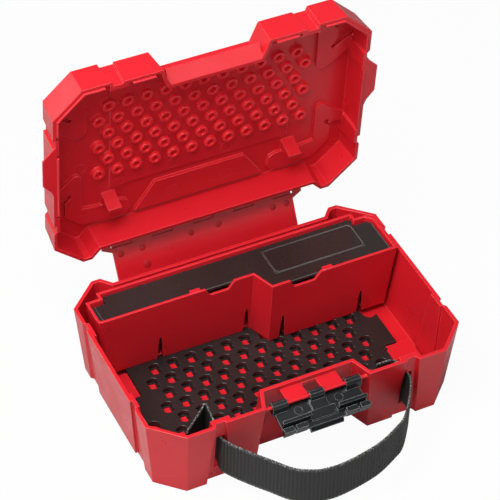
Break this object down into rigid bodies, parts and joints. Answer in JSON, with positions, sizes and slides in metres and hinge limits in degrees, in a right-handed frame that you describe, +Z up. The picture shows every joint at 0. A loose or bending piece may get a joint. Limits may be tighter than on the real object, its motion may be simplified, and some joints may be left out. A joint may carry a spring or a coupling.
{
  "type": "hole saw case",
  "caption": "Hinged storage case with a two-stage hinge, rod-hung latch, webbing handle, lift-out covered accessory tray and perforated peg plate.",
  "frame": {"origin": "centre of the case's underside, at the middle of its length and of its closed depth", "axes": "+X along the length, to the right when facing the latch; -Y towards the latch and handle; +Z up. Stored open, as in the picture."},
  "size_m": [0.351, 0.3473, 0.32],
  "materials": {
    "red_plastic": "satin moulded polypropylene, strong red",
    "dark_plastic": "glossy moulded plastic, brownish black",
    "black_plastic": "satin moulded plastic, dark grey",
    "webbing": "woven webbing, black"
  },
  "bodies": {
    "base": {"base_shell": "red_plastic", "peg_plate": "dark_plastic"},
    "panel": {"hinge_panel": "red_plastic"},
    "lid": {"lid_shell": "red_plastic"},
    "latch": {"latch": "black_plastic"},
    "tray": {"accessory_tray": "red_plastic"},
    "cover": {"tray_cover": "dark_plastic"},
    "strap": {"carry_strap": "webbing"}
  },
  "joints": [
    {"name": "panel_fold", "type": "hinge", "parent": "base", "child": "panel", "pos_m": [0, 0.1099, 0.0084], "axis": [1, 0, 0], "range_deg": [0, 27.7]},
    {"name": "lid_fold", "type": "hinge", "parent": "panel", "child": "lid", "pos_m": [0, 0.15652, 0.0972], "axis": [1, 0, 0], "range_deg": [0, 58]},
    {"name": "latch_swing", "type": "hinge", "parent": "base", "child": "latch", "pos_m": [0, -0.1075, 0.075], "axis": [-1, 0, 0], "range_deg": [0, 107]},
    {"name": "tray_lift", "type": "slide", "parent": "base", "child": "tray", "axis": [0, 0, -1], "range_m": [-0.075, 0]},
    {"name": "tray_cover_hinge", "type": "hinge", "parent": "tray", "child": "cover", "pos_m": [0, 0.0832, 0.08315], "axis": [1, 0, 0], "range_deg": [-100, 0]},
    {"name": "strap_slide", "type": "slide", "parent": "base", "child": "strap", "axis": [0, 1, 0], "range_m": [-0.01, 0]}
  ]
}
